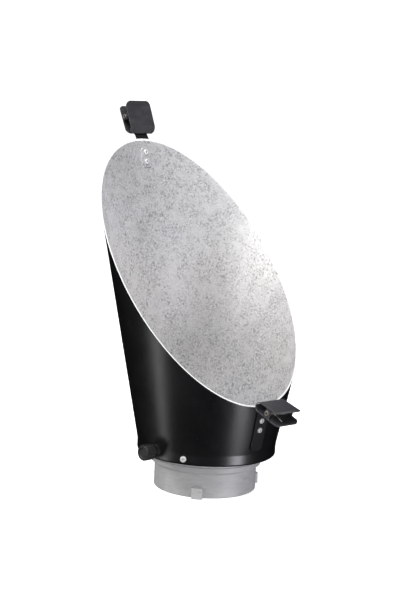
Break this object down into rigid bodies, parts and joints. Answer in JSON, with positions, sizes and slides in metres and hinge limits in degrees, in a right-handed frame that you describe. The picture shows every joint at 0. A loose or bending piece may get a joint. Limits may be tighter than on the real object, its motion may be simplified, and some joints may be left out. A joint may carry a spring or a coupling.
{
  "type": "background reflector",
  "caption": "Conical background reflector with an obliquely cut mouth, rotating three-lug bayonet mount, radial locking knob and two sprung filter clips.",
  "frame": {"origin": "centre of the mount ring's bottom annulus, on the reflector's axis", "axes": "+Z along the reflector's axis from the mount towards the mouth; the short side of the oblique mouth and its clip are at -Y, the tall side and its clip at +Y; +X to the right of someone facing the mouth along +Y"},
  "size_m": [0.1932, 0.2612, 0.3616],
  "materials": {
    "cast_aluminium": "fine turned cast aluminium",
    "shell_paint": "satin black outside, stippled silver inside",
    "collar_aluminium": "machined aluminium",
    "knob_plastic": "satin black",
    "bush_black": "satin black",
    "pad_brass": "turned brass",
    "black_steel": "black enamelled steel",
    "plated_steel": "bright plated steel"
  },
  "bodies": {
    "mount": {"mount_ring": "cast_aluminium", "swivel_drum": "collar_aluminium"},
    "reflector": {"base_collar": "collar_aluminium", "guide_screws": "plated_steel", "lock_bush": "bush_black", "lower_backing_plate": "plated_steel", "lower_bracket": "black_steel", "lower_bracket_rivets": "plated_steel", "lower_clip_fixed_plate": "black_steel", "lower_clip_pin": "plated_steel", "lower_clip_rivet": "plated_steel", "lower_clip_spring": "plated_steel", "reflector_shell": "shell_paint", "upper_backing_plate": "plated_steel", "upper_bracket": "black_steel", "upper_bracket_rivets": "plated_steel", "upper_clip_fixed_plate": "black_steel", "upper_clip_pin": "plated_steel", "upper_clip_rivet": "plated_steel", "upper_clip_spring": "plated_steel"},
    "lock_pad_carrier": {"lock_pad": "pad_brass"},
    "lock_screw": {"lock_knob": "knob_plastic", "lock_stud": "plated_steel"},
    "upper_jaw": {"upper_clip_moving_plate": "black_steel"},
    "lower_jaw": {"lower_clip_moving_plate": "black_steel"}
  },
  "joints": [
    {"name": "shell_turn", "type": "hinge", "parent": "mount", "child": "reflector", "pos_m": [0, 0, 0.0415], "axis": [0, 0, 1], "continuous": true},
    {"name": "lock_travel", "type": "slide", "parent": "reflector", "child": "lock_pad_carrier", "axis": [-0.9962, -0.0872, 0], "range_m": [0, 0.0016]},
    {"name": "lock_turn", "type": "hinge", "parent": "lock_pad_carrier", "child": "lock_screw", "pos_m": [-0.07471, -0.00654, 0.0436], "axis": [-0.9962, -0.0872, 0], "range_deg": [0, 720]},
    {"name": "upper_clip_jaw", "type": "hinge", "parent": "reflector", "child": "upper_jaw", "pos_m": [0.00353, 0.13495, 0.3458], "axis": [-0.9997, 0.0262, 0], "range_deg": [0, 38], "stiffness_Nm_per_rad": 0.2, "springref_deg": -51.57, "deforming": ["upper_clip_spring"]},
    {"name": "lower_clip_jaw", "type": "hinge", "parent": "reflector", "child": "lower_jaw", "pos_m": [0.00238, -0.09737, 0.0923], "axis": [0.9997, 0.0244, 0], "range_deg": [0, 38], "stiffness_Nm_per_rad": 0.2, "springref_deg": -51.57, "deforming": ["lower_clip_spring"]}
  ],
  "couplings": [
    {"joint": "lock_turn", "follows": "lock_travel", "rad_per_m": 7854}
  ]
}
